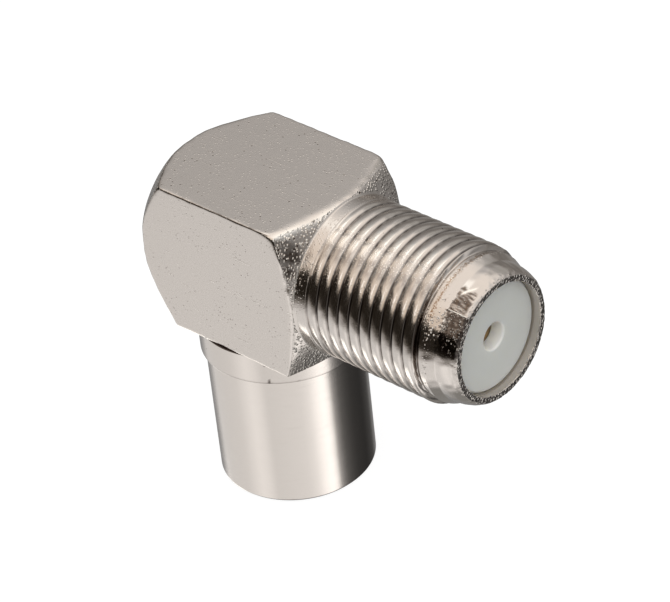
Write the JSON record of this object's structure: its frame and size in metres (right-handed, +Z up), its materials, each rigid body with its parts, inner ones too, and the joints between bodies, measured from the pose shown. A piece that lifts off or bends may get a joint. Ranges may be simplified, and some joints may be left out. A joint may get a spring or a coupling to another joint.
{
  "type": "coaxial adapter",
  "caption": "Right-angle coaxial adapter: threaded F jack with a white insulator on one side of a square metal block, smooth push-on TV plug sleeve with a centre pin below.",
  "frame": {"origin": "centre of the open lower end of the plug sleeve, on the plug axis", "axes": "+Z up the plug axis towards the block; +X along the jack axis, out of the jack's mouth; +Y across the block"},
  "size_m": [0.0233, 0.01, 0.0209],
  "materials": {
    "nickel_plated_casting": "satin, slightly grainy, worn at the edges",
    "nickel_plated_brass": "finely turned satin",
    "white_polyethylene": "milky, smooth",
    "spring_bronze": "plain drawn"
  },
  "bodies": {
    "root": {"elbow_body": "nickel_plated_casting", "plug_sleeve": "nickel_plated_brass", "plug_insulator": "white_polyethylene", "plug_pin": "nickel_plated_brass", "jack_insulator": "white_polyethylene", "jack_cap": "white_polyethylene", "jack_contact": "spring_bronze"}
  },
  "joints": []
}
